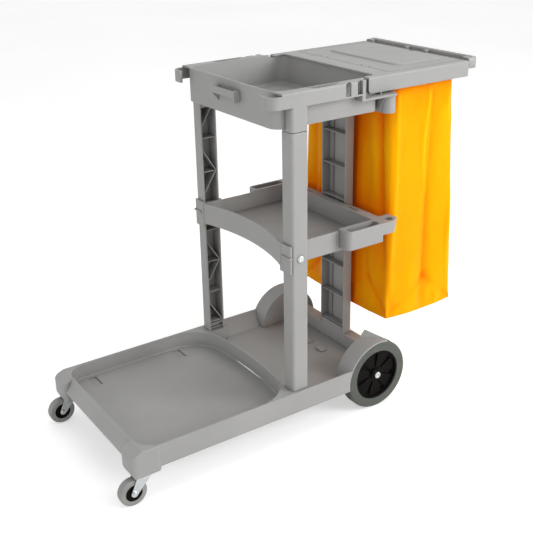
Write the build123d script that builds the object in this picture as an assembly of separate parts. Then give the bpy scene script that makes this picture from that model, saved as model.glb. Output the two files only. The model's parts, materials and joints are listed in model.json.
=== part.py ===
from build123d import *
import os
from math import cos, radians, sin, sqrt

# A janitor's cart. Millimetres, +Z up. The origin is on the floor under the middle of the
# overall box. +X points to the push handle, -X to the front platform, -Y to the user's left
# when pushing the cart towards -X.

# --- overall and shared sizes ---
HALF_LENGTH = 588.0
PLATFORM_FRONT = -547.0
PLATFORM_REAR = 294.0
PLATFORM_HALF_W = 247.0
RAIL_TOP = 153.0
RAIL_BOTTOM = 90.0
WALL = 4.0
FIT_GAP = 0.4

# --- rear axle and wheels ---
AXLE_X = 237.0
AXLE_Z = 104.0
AXLE_R = 6.0
RUNNING_GAP = 0.05
TYRE_R = 104.0
HUB_R = 76.0
WHEEL_IN = 200.0
WHEEL_OUT = 238.0
HUB_OUT = 234.0
FENDER_R = 112.0
WELL_R = 108.0
WELL_IN = 192.0
CAP_R = 10.0
CLIP_IN = 118.0
CLIP_OUT = 138.0
CLIP_SHEET = 2.5
CLIP_EAR = 22.0
CLIP_SCREW = 15.0

# --- front swivel casters ---
CASTER_X = -520.8
CASTER_Y = 229.0
CASTER_TRAIL = 30.0
CASTER_R = 37.2
CASTER_HALF_W = 11.7
CASTER_HUB_R = 23.0
CASTER_AXLE_R = 4.0
FORK_TOP = 79.0
FORK_SHEET = 2.2
FORK_IN = 13.6
HEAD_R = 17.0
HEAD_TOP = 91.5
STEM_R = 5.5
STEM_TOP = 140.0
KINGPIN_R = 4.0

# --- platform recesses ---
BUCKET_FLOOR = 107.0
BUCKET_FRONT = -521.0
BUCKET_REAR = -48.0
BUCKET_HALF_W = 242.0
BUCKET_REAR_ARC = 925.0
BACK_FLOOR = 112.0
BACK_HALF_W = 203.0
BACK_FRONT = -7.0
BACK_TOP_W = 243.0
RIM_FRONT = 257.0
FRONT_WALL_BOTTOM = 113.0
FRONT_WALL_TOP_X = -524.0
BLOCK_BOTTOM = 80.5
BLOCK_CREASE = 140.0
BLOCK_FRONT = -557.0
BLOCK_REAR = -466.0
PAD_DEPTH = 3.5

# --- posts ---
POST_FRONT = -63.0
POST_REAR = -12.0
POST_IN = 199.0
POST_OUT = 240.0
POST_TOP = 870.0
POST_WALL = 4.0
POST_EDGE_R = 8.0
POST_MID = 523.0
SPIGOT_H = 18.0
BACK_POST_FRONT = 256.0
BACK_POST_REAR = 286.0
BACK_POST_HALF_W = 55.0
RIB = 2.5

# --- middle shelf ---
SHELF_BOTTOM = 512.0
SHELF_TOP = 574.0
SHELF_FLOOR = 520.0
SHELF_HALF_W = 205.0
SHELF_FRONT = -73.0
SHELF_ARCH = 35.0
SHELF_REAR = 262.0
SHELF_BACK_WALL = 232.0
HOLDER_OUT = 243.0
HOLDER_FRONT = 117.0
HOLDER_REAR = 300.0
HOLDER_STEP_X = 237.0
RING_X = 273.0
RING_Y = 221.0
RING_R = 12.5

# --- top tray ---
TRAY_TOP = 970.0
TRAY_BOTTOM = 878.0
TRAY_FLOOR = 882.0
TRAY_FRONT = -93.0
TRAY_BACK_IN = 232.0
TRAY_BACK = 236.5
TRAY_HALF_W = 214.0
TRAY_IN_W = 209.5
BAND_OUT = 240.0
BAND_BOTTOM = 932.5
BAND_REAR = 157.0
HOOK_FRONT = -123.0
LEDGE_REAR = 271.0
LEDGE_TOP = 922.0
LEDGE_SHEET = 5.0

# --- bag frame, lid, handle ---
FRAME_FRONT = 192.0
FRAME_REAR = 551.0
FRAME_HALF_W = 221.0
FRAME_BOTTOM = 928.0
FRAME_TOP = 970.0
STRIP_FRONT = 227.0
LID_SLOT_FRONT = 277.5
LID_FRONT = 281.0
LID_REAR = 541.0
LID_HALF_W = 196.0
LID_GAP = 2.5
LID_SHEET = 4.0
HINGE_X = 284.0
HINGE_Z = 965.5
HINGE_Y = 91.0
HINGE_PIN_R = 2.0
COLLAR_BOTTOM = 912.0
HANDLE_FRONT = 567.0
HANDLE_TOP = 978.0
HANDLE_BOTTOM = 944.0
HANDLE_HALF_W = 216.0
HANDLE_TURN_R = 18.0
SCREW_R = 2.2
SHELF_SCREW_R = 10.0
FRAME_SCREW_X = 258.0
FRAME_SCREW_ROWS = (-150, -75, 75, 150)
HANDLE_SCREW_ROWS = (-202, -40, 40, 202)
HANDLE_SCREW_Z = 956.0

# --- vinyl bag ---
BAG_TOP = 941.0
BAG_BOTTOM = 248.0
BAG_WALL = 3.0
PEG_Z = 934.0
PEG_R = 3.0
PEG_HEAD_R = 4.8


def block(x0, x1, y0, y1, z0, z1):
    """Box between two corners."""
    size = (x1 - x0, y1 - y0, z1 - z0)
    return Pos((x0 + x1) / 2, (y0 + y1) / 2, (z0 + z1) / 2) * Box(*size)


def mirrored(shape):
    """The same shape on the other side of the cart's centre plane."""
    return mirror(shape, about=Plane.XZ)


def both_sides(shape):
    """A shape and its mirror image, joined."""
    return shape + mirrored(shape)


def rod_y(x, z, y0, y1, radius):
    """Round bar along Y."""
    return Pos(x, (y0 + y1) / 2, z) * Rot(90, 0, 0) * Cylinder(radius, abs(y1 - y0))


def rod_z(x, y, z0, z1, radius):
    """Round bar along Z."""
    return Pos(x, y, (z0 + z1) / 2) * Cylinder(radius, z1 - z0)


def rod_x(x0, x1, y, z, radius):
    """Round bar along X."""
    return Pos((x0 + x1) / 2, y, z) * Rot(0, 90, 0) * Cylinder(radius, abs(x1 - x0))


def rounded_block(x0, x1, y0, y1, z0, z1, radius):
    """Box with its four upright edges rounded."""
    face = Pos((x0 + x1) / 2, (y0 + y1) / 2) * RectangleRounded(x1 - x0, y1 - y0, radius)
    return Pos(0, 0, z0) * extrude(face, z1 - z0)


def plan_solid(points, z0, z1):
    """Upright prism from plan points."""
    return Pos(0, 0, z0) * extrude(make_face(Polyline(*points, close=True)), z1 - z0)


def side_solid(points, y0, y1):
    """Prism along Y from (x, z) points."""
    face = make_face(Polyline(*[(x, 0, z) for x, z in points], close=True))
    return extrude(Pos(0, y0, 0) * face, y1 - y0, dir=(0, 1, 0))


def end_solid(points, x0, x1):
    """Prism along X from (y, z) points."""
    face = make_face(Polyline(*[(x0, y, z) for y, z in points], close=True))
    return extrude(face, x1 - x0, dir=(1, 0, 0))


# --- base platform ---

def bucket_outline(grow):
    """Plan of the front recess: straight front and sides, bowed rear edge."""
    half_w = BUCKET_HALF_W + grow
    rear = BUCKET_REAR + grow
    front = BUCKET_FRONT - grow
    arc_r = BUCKET_REAR_ARC + grow
    side_x = rear - (arc_r - sqrt(arc_r ** 2 - half_w ** 2))
    edge = [
        Line((side_x, half_w), (front, half_w)),
        Line((front, half_w), (front, -half_w)),
        Line((front, -half_w), (side_x, -half_w)),
        ThreePointArc((side_x, -half_w), (rear, 0), (side_x, half_w)),
    ]
    face = make_face(edge)
    corners = face.vertices()
    face = fillet(corners.filter_by(lambda v: v.X < -300), 58 + grow)
    return fillet(face.vertices().filter_by(lambda v: v.X > -130), 105 + grow)


def corner_block(side):
    """Proud rounded block over a front caster: upright sides, a roof that falls to the front."""
    plan = Pos((BLOCK_FRONT + BLOCK_REAR) / 2, 216) * RectangleRounded(BLOCK_REAR - BLOCK_FRONT, 68, 20)
    shape = Pos(0, 0, BLOCK_BOTTOM) * extrude(plan, RAIL_TOP - BLOCK_BOTTOM)
    shape -= side_solid([(BLOCK_FRONT - 1, BLOCK_CREASE), (FRONT_WALL_TOP_X, RAIL_TOP),
                         (FRONT_WALL_TOP_X, RAIL_TOP + 1), (BLOCK_FRONT - 1, RAIL_TOP + 1)], 170, 255)
    roof_edges = shape.edges().filter_by(
        lambda e: e.center().Z > BLOCK_CREASE - 1 and (e.center().Y > 240 or e.center().X < BLOCK_FRONT + 8))
    shape = fillet(roof_edges, 4)
    nose = side_solid([(-548, 80), (BLOCK_FRONT, 101), (BLOCK_FRONT - 1, 101), (BLOCK_FRONT - 1, 80)], 170, 255)
    tail = side_solid([(-478, 80), (BLOCK_REAR + 1, 80), (BLOCK_REAR + 1, 97)], 170, 255)
    shape = shape - nose - tail
    return shape if side > 0 else mirrored(shape)


def fender():
    """Quarter shell over the front and top of one rear wheel, with its inner wall."""
    ring = rod_y(AXLE_X, AXLE_Z, WELL_IN - WALL, PLATFORM_HALF_W, FENDER_R)
    well = rod_y(AXLE_X, AXLE_Z, WELL_IN, PLATFORM_HALF_W + 1, WELL_R)
    front = AXLE_X - 130
    slanted_end = plan_solid([(front, WELL_IN - WALL), (AXLE_X - 10, WELL_IN - WALL),
                              (AXLE_X + 27, PLATFORM_HALF_W), (front, PLATFORM_HALF_W)],
                             RAIL_BOTTOM, AXLE_Z + FENDER_R)
    keep = side_solid([(front, RAIL_BOTTOM), (AXLE_X - 8, RAIL_BOTTOM), (AXLE_X - 8, 200),
                       (AXLE_X + 40, 200), (AXLE_X + 40, 230), (front, 230)], 180, 250)
    # upturned end, high at the inner wall and low at the outer edge
    inner_y = WELL_IN - WALL
    outer_y = PLATFORM_HALF_W - 1
    inner_end = make_face(Polyline((208, inner_y, 211), (227, inner_y, 234), (229, inner_y, 211), close=True))
    outer_end = make_face(Polyline((256, outer_y, 212), (262, outer_y, 216), (263, outer_y, 211), close=True))
    kick = loft([inner_end, outer_end])
    return ((ring & keep) & slanted_end) + kick - well


def rear_recess():
    """Space of the rear recess: flat floor, sides that slope out to the rail's outer wall."""
    space = rounded_block(-110, RIM_FRONT, -BACK_HALF_W + 10, BACK_HALF_W - 10,
                          BACK_FLOOR, RAIL_TOP + 1, 12)
    space += block(BACK_FRONT, 150, -BACK_HALF_W, BACK_HALF_W, BACK_FLOOR, RAIL_TOP + 1)
    slope = end_solid([(BACK_HALF_W - 3, BACK_FLOOR), (BACK_HALF_W, BACK_FLOOR), (BACK_TOP_W, RAIL_TOP),
                       (BACK_TOP_W, RAIL_TOP + 1), (BACK_HALF_W - 3, RAIL_TOP + 1)], BACK_FRONT, 150)
    space += both_sides(slope)
    space -= both_sides(block(140, RIM_FRONT + 1, WELL_IN - WALL, BACK_HALF_W + 1, 0, 200))
    return space - Pos(0, 0, 80) * extrude(bucket_outline(WALL), 100)


def rail_hollow():
    """Space under the slope of a rear rail, with two cross ribs left in it."""
    lean = [(BACK_HALF_W + 5, RAIL_BOTTOM - 1), (BACK_TOP_W, RAIL_BOTTOM - 1), (BACK_TOP_W, RAIL_TOP - 7),
            (BACK_HALF_W + 5, BACK_FLOOR - 2)]
    space = end_solid(lean, BACK_FRONT + 3, 118)
    for rib_x in (36, 77):
        space -= block(rib_x, rib_x + 3, BACK_HALF_W, PLATFORM_HALF_W, RAIL_BOTTOM - 1, RAIL_TOP)
    return both_sides(space)


def base_platform():
    """One moulding: bucket recess, rear recess, hollow rails, corner blocks, wheel wells."""
    shape = block(PLATFORM_FRONT, 180, -PLATFORM_HALF_W, PLATFORM_HALF_W, RAIL_BOTTOM, RAIL_TOP)
    shape += block(100, PLATFORM_REAR, -WELL_IN, WELL_IN, RAIL_BOTTOM, RAIL_TOP)
    # sloping front face
    shape -= side_solid([(PLATFORM_FRONT - 1, FRONT_WALL_BOTTOM), (PLATFORM_FRONT, FRONT_WALL_BOTTOM),
                         (FRONT_WALL_TOP_X, RAIL_TOP), (FRONT_WALL_TOP_X, RAIL_TOP + 1),
                         (PLATFORM_FRONT - 1, RAIL_TOP + 1)], -250, 250)
    shape -= block(PLATFORM_FRONT - 1, BUCKET_FRONT - 4, -250, 250, RAIL_BOTTOM - 1, FRONT_WALL_BOTTOM)
    shape -= both_sides(rod_y(AXLE_X, AXLE_Z, WELL_IN, PLATFORM_HALF_W + 1, WELL_R))
    for side in (1, -1):
        shape += corner_block(side)
    # under-side hollows: below the two floors, inside the front wall and inside the rear rim
    shape -= block(BUCKET_FRONT + 30, -60, -BUCKET_HALF_W + 1, BUCKET_HALF_W - 1,
                   RAIL_BOTTOM - 20, BUCKET_FLOOR - WALL) - both_sides(
        rounded_block(-575, -466, 178, 255, 60, 120, 20))
    shape -= block(-52, RIM_FRONT + WALL, -WELL_IN + WALL, WELL_IN - WALL,
                   RAIL_BOTTOM - 1, BACK_FLOOR - WALL)
    shape -= side_solid([(PLATFORM_FRONT + 4.5, FRONT_WALL_BOTTOM - 1), (BUCKET_FRONT - 4, FRONT_WALL_BOTTOM - 1),
                         (BUCKET_FRONT - 4, RAIL_TOP - 11)], -180, 180)
    shape -= block(RIM_FRONT + WALL, PLATFORM_REAR - WALL, -WELL_IN + WALL, WELL_IN - WALL,
                   RAIL_BOTTOM - 1, RAIL_TOP - WALL)
    shape -= rail_hollow()
    # recesses from above
    bucket = Pos(0, 0, BUCKET_FLOOR) * extrude(bucket_outline(0), 80)
    shape -= fillet(bucket.edges().group_by(Axis.Z)[0], 4)
    shape -= rear_recess()
    shape += both_sides(fender())
    # channel for the axle, open underneath
    channel_r = AXLE_R + FIT_GAP
    shape -= rod_y(AXLE_X, AXLE_Z, -WELL_IN, WELL_IN, channel_r)
    shape -= block(AXLE_X - channel_r, AXLE_X + channel_r, -WELL_IN - 1, WELL_IN + 1, RAIL_BOTTOM - 1, AXLE_Z)
    # spigots and inner collars that locate the posts
    spigot = block(POST_FRONT + POST_WALL + FIT_GAP, POST_REAR - POST_WALL - FIT_GAP, POST_IN + 12,
                   POST_OUT - POST_WALL - FIT_GAP, RAIL_TOP - 1, RAIL_TOP + SPIGOT_H)
    collar = block(POST_FRONT + 3, BACK_FRONT + 2, POST_IN - 6, POST_IN, BACK_FLOOR - 2, RAIL_TOP - 2)
    shape += both_sides(spigot + collar)
    shape += block(BACK_POST_FRONT + 1, BACK_POST_REAR - POST_WALL - FIT_GAP,
                   -BACK_POST_HALF_W + POST_WALL + FIT_GAP, BACK_POST_HALF_W - POST_WALL - FIT_GAP,
                   RAIL_TOP - 1, RAIL_TOP + SPIGOT_H)
    # caster housings
    for side in (1, -1):
        shape -= rod_z(CASTER_X, side * CASTER_Y, BLOCK_BOTTOM - 1, 96, HEAD_R + 1.5)
        shape -= rod_z(CASTER_X, side * CASTER_Y, 90, STEM_TOP + 1, STEM_R)
    # shallow locating pads in the bucket floor, thickened underneath
    for x0 in (-461, -184):
        shape += both_sides(block(x0 - 3, x0 + 28, 177, 233, BUCKET_FLOOR - PAD_DEPTH - WALL, BUCKET_FLOOR - 3))
        shape -= both_sides(block(x0, x0 + 25, 180, 230, BUCKET_FLOOR - PAD_DEPTH, BUCKET_FLOOR + 1))
    # two small feet on the rear floor
    shape += both_sides(block(178, 198, 20, 48, BACK_FLOOR - 1, BACK_FLOOR + 5))
    for x, y in clip_screw_places():
        shape -= rod_z(x, y, BACK_FLOOR - WALL - 1, BACK_FLOOR - 1.2, SCREW_R)
    return shape


# --- posts ---

def brace(x0, z0, x1, z1, y0, y1):
    """Thin straight rib between two (x, z) points."""
    length = sqrt((x1 - x0) ** 2 + (z1 - z0) ** 2)
    nx = -(z1 - z0) / length * RIB / 2
    nz = (x1 - x0) / length * RIB / 2
    points = [(x0 + nx, z0 + nz), (x1 + nx, z1 + nz), (x1 - nx, z1 - nz), (x0 - nx, z0 - nz)]
    return side_solid(points, y0, y1)


def front_post():
    """Channel open towards the cart's middle, stiffened by level and slanted ribs."""
    foot = RAIL_TOP
    shape = block(POST_FRONT, POST_REAR, POST_IN, POST_OUT, foot, POST_TOP)
    shape = fillet(shape.edges().filter_by(Axis.Z).filter_by(lambda e: e.center().Y > POST_OUT - 1),
                   POST_EDGE_R)
    inner = (POST_FRONT + POST_WALL, POST_REAR - POST_WALL)
    shape -= block(inner[0], inner[1], POST_IN - 1, POST_OUT - POST_WALL, foot - 1, POST_TOP + 1)
    rib_y = (POST_IN + 3, POST_OUT - POST_WALL + 0.5)
    clear = block(*inner, *rib_y, foot + SPIGOT_H + 2, POST_TOP - SPIGOT_H - 2)
    ribs = None
    for way in (1, -1):
        for level in (40, 240):
            z = POST_MID + way * level
            rib = block(*inner, *rib_y, z - RIB / 2, z + RIB / 2)
            ribs = rib if ribs is None else ribs + rib
        for step in (0, 1):
            z = POST_MID + way * (140 + 200 * step)
            ribs += block(*inner, *rib_y, z - RIB / 2, z + RIB / 2)
            for end in (66, -66):
                ribs += brace(inner[1], z, inner[0], z + end, *rib_y)
    shape += ribs & clear
    level = RAIL_TOP + SPIGOT_H + 4
    shape += block(*inner, *rib_y, level - RIB / 2, level + RIB / 2)
    # low rib in front of the base's spigot
    shape += block(*inner, POST_IN + 3, POST_IN + 12 - FIT_GAP, RAIL_TOP + 6, RAIL_TOP + 6 + RIB)
    screw = rod_y((POST_FRONT + POST_REAR) / 2, SHELF_BOTTOM + 26, POST_OUT - 10, POST_OUT + 1, 3)
    return shape - screw


def rear_post():
    """Wide shallow channel open to the front, with level ribs."""
    shape = block(BACK_POST_FRONT, BACK_POST_REAR, -BACK_POST_HALF_W, BACK_POST_HALF_W,
                  RAIL_TOP, POST_TOP)
    shape = fillet(shape.edges().filter_by(Axis.Z).filter_by(lambda e: e.center().X > BACK_POST_REAR - 1), 4)
    half = BACK_POST_HALF_W - POST_WALL
    shape -= block(BACK_POST_FRONT - 1, BACK_POST_REAR - POST_WALL, -half, half, RAIL_TOP - 1, POST_TOP + 1)
    for way in (1, -1):
        for step in range(4):
            z = POST_MID + way * (57 + 97 * step)
            if RAIL_TOP + SPIGOT_H < z < POST_TOP - SPIGOT_H:
                shape += block(BACK_POST_FRONT + 3, BACK_POST_REAR - POST_WALL + 0.5, -half - 0.5,
                               half + 0.5, z - RIB / 2, z + RIB / 2)
    for y in (-30, 30):
        shape += block(BACK_POST_REAR - POST_WALL - 4, BACK_POST_REAR - POST_WALL + 0.5, y - 1, y + 1,
                       RAIL_TOP + SPIGOT_H + 2, POST_TOP - SPIGOT_H - 2)
    return shape


# --- middle shelf ---

def shelf_plan(inset, rear):
    """Plan of the shelf: arched front edge, straight sides and rear."""
    half_w = SHELF_HALF_W - inset
    front = SHELF_FRONT + inset
    crown = front + SHELF_ARCH
    edge = [
        ThreePointArc((front, half_w), (crown, 0), (front, -half_w)),
        Line((front, -half_w), (rear, -half_w)),
        Line((rear, -half_w), (rear, half_w)),
        Line((rear, half_w), (front, half_w)),
    ]
    return make_face(edge)


def tool_holder():
    """Pocket and ring for long handles, beside the rear of the shelf (right side)."""
    outer = HOLDER_OUT
    points = [(HOLDER_FRONT, SHELF_HALF_W - 3), (HOLDER_FRONT, outer), (274, outer),
              (HOLDER_REAR, 227), (HOLDER_REAR - 6, SHELF_HALF_W - 12), (256, SHELF_HALF_W - 12),
              (256, SHELF_HALF_W - 3)]
    shape = plan_solid(points, SHELF_BOTTOM + 9, SHELF_TOP)
    shape = fillet(shape.edges().filter_by(Axis.Z).filter_by(
        lambda e: e.center().Y > outer - 1 and e.center().X < 200), 15)
    shape = fillet(shape.edges().filter_by(Axis.Z).filter_by(
        lambda e: e.center().X > 270 and e.center().Y > 200), 6)
    shape -= block(HOLDER_STEP_X, 320, 150, 260, 500, SHELF_BOTTOM + 28)
    shape -= side_solid([(280, SHELF_BOTTOM + 20), (310, SHELF_BOTTOM + 20), (310, SHELF_TOP - 8),
                         (HOLDER_REAR - 4, SHELF_TOP - 8)], 150, 260)
    pocket = rounded_block(HOLDER_FRONT + 8, 231, SHELF_HALF_W + 4, outer - 5,
                           SHELF_BOTTOM + 14, SHELF_TOP + 1, 10)
    shape -= pocket
    shape -= rod_z(RING_X, RING_Y, SHELF_BOTTOM, SHELF_TOP + 1, RING_R)
    return shape


def post_sleeve():
    """Clip that holds the shelf to the front of a front post (right side)."""
    front = POST_FRONT - 7
    shape = block(front, POST_FRONT - FIT_GAP, SHELF_HALF_W - 12, POST_OUT - 1, 500, SHELF_TOP + 3)
    shape += block(front, POST_REAR + 6, POST_IN - 6, POST_IN - FIT_GAP, SHELF_BOTTOM, SHELF_TOP)
    shape = fillet(shape.edges().filter_by(Axis.Z).filter_by(
        lambda e: e.center().X < front + 1 and e.center().Y > POST_OUT - 2), 4)
    ridge = block(front - 3, POST_FRONT - FIT_GAP, POST_IN + 4, POST_OUT + 1, 542, 547)
    return shape + ridge


def middle_shelf():
    """Tray between the posts, with a tool holder on each side."""
    height = SHELF_TOP - SHELF_BOTTOM
    shape = Pos(0, 0, SHELF_BOTTOM) * extrude(shelf_plan(0, SHELF_REAR), height)
    shape -= Pos(0, 0, SHELF_FLOOR) * extrude(shelf_plan(WALL + 0.5, SHELF_BACK_WALL), height)
    shape -= Pos(0, 0, SHELF_BOTTOM - 1) * extrude(
        shelf_plan(WALL, SHELF_BACK_WALL), SHELF_FLOOR - WALL - SHELF_BOTTOM + 1)
    shape -= block(SHELF_BACK_WALL + WALL, SHELF_REAR - WALL, -SHELF_HALF_W + WALL, SHELF_HALF_W - WALL,
                   SHELF_BOTTOM - 1, SHELF_TOP - WALL)
    corner = block(POST_FRONT - 11, POST_REAR + FIT_GAP, POST_IN - FIT_GAP, SHELF_HALF_W + 1,
                   SHELF_BOTTOM - 1, SHELF_TOP + 1)
    shape -= both_sides(corner)
    shape += both_sides(post_sleeve())
    holder = tool_holder()
    shape += both_sides(holder)
    # notch for the rear post, and a slot each side of it
    shape -= block(BACK_POST_FRONT - FIT_GAP, SHELF_REAR + 1, -BACK_POST_HALF_W - FIT_GAP,
                   BACK_POST_HALF_W + FIT_GAP, SHELF_BOTTOM - 1, SHELF_TOP + 1)
    shape -= both_sides(block(244, 250, 84, 122, SHELF_TOP - 10, SHELF_TOP + 1))
    # the side rims are lower between the posts and the tool holders
    shape -= both_sides(block(-4, HOLDER_FRONT - 1, SHELF_HALF_W - 6, SHELF_HALF_W + 1,
                              SHELF_TOP - 5, SHELF_TOP + 1))
    return shape


# --- top tray ---

def corner_hook():
    """Curved band ahead of a front corner, open towards the middle (right side)."""
    sheet = 5.0
    turn = 26.0
    x0 = HOOK_FRONT
    outer = BAND_OUT
    points = [
        Line((TRAY_FRONT + 4, outer), (x0 + turn, outer)),
        RadiusArc((x0 + turn, outer), (x0, outer - turn), -turn),
        Line((x0, outer - turn), (x0, 192)),
        Line((x0, 192), (x0 + sheet + 2, 192)),
        Line((x0 + sheet + 2, 192), (x0 + sheet + 2, 199)),
        Line((x0 + sheet + 2, 199), (x0 + sheet, 199)),
        Line((x0 + sheet, 199), (x0 + sheet, outer - turn)),
        RadiusArc((x0 + sheet, outer - turn), (x0 + turn, outer - sheet), turn - sheet),
        Line((x0 + turn, outer - sheet), (TRAY_FRONT + 4, outer - sheet)),
        Line((TRAY_FRONT + 4, outer - sheet), (TRAY_FRONT + 4, outer)),
    ]
    face = make_face(points)
    return Pos(0, 0, BAND_BOTTOM) * extrude(face, TRAY_TOP - 6 - BAND_BOTTOM)


def front_hook():
    """Bracket on the front wall: a level bar on two legs."""
    wall = TRAY_FRONT + 1
    bar_x = TRAY_FRONT - 20
    bar = block(bar_x, bar_x + 5, -62, 48, 931, 949)
    top = block(bar_x, wall, -62, 48, 944, 949) - block(bar_x + 5, wall - 3, -48, 34, 940, 950)
    leg = side_solid([(bar_x, 949), (bar_x, 922), (bar_x + 9, 919), (wall, 925), (wall, 949)], -62, -57)
    gusset = side_solid([(bar_x, 949), (bar_x, 931), (wall, 906), (wall, 949)], 43, 48)
    return bar + top + leg + gusset


def rear_bracket():
    """Gusset plate and hollow half-round boss under the rear ledge (right side)."""
    top = LEDGE_TOP - 1
    edge = [
        Line((240, 188, top), (240, 188, 874)),
        Line((240, 188, 874), (240, 214, 874)),
        ThreePointArc((240, 214, 874), (240, 219, 899), (240, 238, 917)),
        Line((240, 238, 917), (240, 238, top)),
        Line((240, 238, top), (240, 188, top)),
    ]
    plate = extrude(make_face(edge), 3.5, dir=(1, 0, 0))
    half = 18.7
    middle = 243.5 + half
    outer = rod_z(middle, 217, 871, top, half) + block(middle - half, middle + half, 188, 217, 871, top)
    wall = 3.2
    inner = rod_z(middle, 217, 870, top - 5, half - wall)
    inner += block(middle - half + wall, middle + half - wall, 188 + wall, 217, 870, top - 5)
    return plate + (outer - inner)


def post_socket():
    """Hollow-looking cap over a front post, with a joint groove and a spigot (right side)."""
    shape = block(POST_FRONT, POST_REAR, POST_IN, POST_OUT, POST_TOP + 1.6, TRAY_TOP - 6)
    shape = fillet(shape.edges().filter_by(Axis.Z).filter_by(lambda e: e.center().Y > POST_OUT - 1),
                   POST_EDGE_R)
    shape += block(POST_FRONT + 2, POST_REAR - 2, POST_IN + 2, POST_OUT - 4, POST_TOP, POST_TOP + 2)
    return shape + block(POST_FRONT + POST_WALL + FIT_GAP, POST_REAR - POST_WALL - FIT_GAP, POST_IN + 1,
                         POST_OUT - POST_WALL - FIT_GAP, POST_TOP - SPIGOT_H, POST_TOP + 1)


def rim_scoop():
    """Long dish in the top of a side rim, and the thicker sheet below it (right side)."""
    middle = 52.0
    half_length = 52.0
    depth = 5.5
    radius = (half_length ** 2 + depth ** 2) / (2 * depth)
    dish = rod_y(middle, TRAY_TOP - depth + radius, TRAY_HALF_W, BAND_OUT - 6, radius)
    pad = block(middle - half_length, middle + half_length, TRAY_HALF_W - 1, BAND_OUT - 4,
                TRAY_TOP - 10, TRAY_TOP - 4)
    return dish & block(-60, 160, 200, 250, TRAY_TOP - 8, TRAY_TOP + 1), pad


def top_tray():
    """Deep tray with a broad side rim, post sockets and rear brackets."""
    body = rounded_block(TRAY_FRONT, TRAY_BACK, -TRAY_HALF_W, TRAY_HALF_W, TRAY_BOTTOM, TRAY_TOP, 28)
    rim = block(TRAY_FRONT + 4, BAND_REAR, -BAND_OUT, BAND_OUT, BAND_BOTTOM, TRAY_TOP)
    rim -= block(TRAY_FRONT, BAND_REAR - 5, -BAND_OUT + 5, BAND_OUT - 5, BAND_BOTTOM - 1, TRAY_TOP - 5)
    rim = fillet(rim.edges().filter_by(Axis.X).filter_by(
        lambda e: abs(e.center().Y) > BAND_OUT - 1 and e.center().Z > TRAY_TOP - 1), 4.5)
    shape = body + rim + both_sides(corner_hook())
    shape += both_sides(post_socket())
    # rear deck, side ledges, brackets and the rear post's spigot
    deck = block(TRAY_BACK - 1, BACK_POST_REAR, -TRAY_HALF_W, TRAY_HALF_W, LEDGE_TOP - LEDGE_SHEET, LEDGE_TOP)
    ledge = block(BAND_REAR - 1, LEDGE_REAR, TRAY_HALF_W - 1, BAND_OUT, LEDGE_TOP - LEDGE_SHEET, LEDGE_TOP)
    leg = block(BAND_REAR - 1, BAND_REAR + 9, TRAY_HALF_W - 1, BAND_OUT, LEDGE_TOP - LEDGE_SHEET, TRAY_TOP)
    shape += both_sides(ledge + leg + rear_bracket())
    shape += deck
    shape += block(BACK_POST_FRONT, BACK_POST_REAR, -BACK_POST_HALF_W, BACK_POST_HALF_W,
                   POST_TOP, LEDGE_TOP - 1)
    shape += block(TRAY_BACK - 1, BACK_POST_FRONT + 1, -BACK_POST_HALF_W, BACK_POST_HALF_W,
                   TRAY_BOTTOM, LEDGE_TOP - 1)
    shape += block(BACK_POST_FRONT + 1, BACK_POST_REAR - POST_WALL - FIT_GAP,
                   -BACK_POST_HALF_W + POST_WALL + FIT_GAP, BACK_POST_HALF_W - POST_WALL - FIT_GAP,
                   POST_TOP - SPIGOT_H, POST_TOP + 1)
    # bin opening
    opening = rounded_block(TRAY_FRONT + 4.5, TRAY_BACK_IN, -TRAY_IN_W, TRAY_IN_W, TRAY_FLOOR, TRAY_TOP + 1, 30)
    shape -= fillet(opening.edges().group_by(Axis.Z)[0], 9)
    # the rear of the rim is lower, so that the bag frame covers it
    shape -= block(FRAME_FRONT - 12, TRAY_BACK + 5, -TRAY_HALF_W - 1, TRAY_HALF_W + 1, TRAY_TOP - 6, TRAY_TOP + 1)
    # clip notches and a long shallow scoop in each side rim
    for x0 in (103, 140.5):
        shape -= both_sides(block(x0, x0 + 16.5, BAND_OUT - 10, BAND_OUT + 1, BAND_BOTTOM + 4, TRAY_TOP + 1))
    dish, pad = rim_scoop()
    shape += both_sides(pad)
    shape -= both_sides(dish)
    for y in FRAME_SCREW_ROWS:
        shape -= rod_z(FRAME_SCREW_X, y, LEDGE_TOP - 6, LEDGE_TOP + 1, SCREW_R)
    return shape + front_hook()


# --- bag frame, lid and handle ---

def hinge_lug(y):
    """Lug of the bag frame beside a hinge barrel."""
    return block(HINGE_X - 9, HINGE_X + 5, y - 3, y + 3, HINGE_Z - 6, FRAME_TOP - 0.5)


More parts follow.
